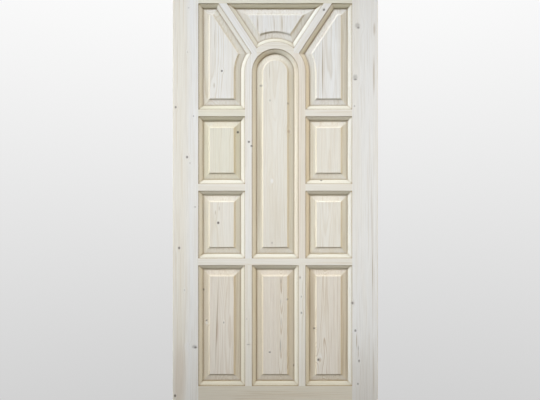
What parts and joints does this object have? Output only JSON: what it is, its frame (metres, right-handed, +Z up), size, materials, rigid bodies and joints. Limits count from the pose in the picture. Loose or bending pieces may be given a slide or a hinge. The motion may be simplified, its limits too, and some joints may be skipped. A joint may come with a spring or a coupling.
{
  "type": "panelled pine door leaf",
  "caption": "Solid pine door leaf: moulded stiles, rails and muntins hold raised panels, with a round-headed centre panel under an arch and diagonals fanning out to the top rail.",
  "frame": {"origin": "on the hinge edge, at its foot, halfway through the leaf's thickness", "axes": "+X from the hinge edge across the leaf, +Z up, the front faces -Y"},
  "size_m": [0.9, 0.04, 2],
  "materials": {
    "pine_frame": "planed and sanded pine, bare",
    "pine_panel": "planed and sanded pine, bare"
  },
  "bodies": {
    "root": {"left_stile": "pine_frame", "right_stile": "pine_frame", "top_rail": "pine_frame", "bottom_rail": "pine_frame", "lock_rail": "pine_frame", "left_muntin": "pine_frame", "right_muntin": "pine_frame", "lower_left_muntin": "pine_frame", "lower_right_muntin": "pine_frame", "arch_crown": "pine_frame", "left_diagonal": "pine_frame", "right_diagonal": "pine_frame", "lower_left_cross_rail": "pine_frame", "upper_left_cross_rail": "pine_frame", "lower_right_cross_rail": "pine_frame", "upper_right_cross_rail": "pine_frame", "top_centre_panel": "pine_panel", "upper_left_panel": "pine_panel", "upper_right_panel": "pine_panel", "arched_centre_panel": "pine_panel", "left_middle_upper_panel": "pine_panel", "left_middle_lower_panel": "pine_panel", "right_middle_upper_panel": "pine_panel", "right_middle_lower_panel": "pine_panel", "bottom_left_panel": "pine_panel", "bottom_centre_panel": "pine_panel", "bottom_right_panel": "pine_panel"}
  },
  "joints": []
}
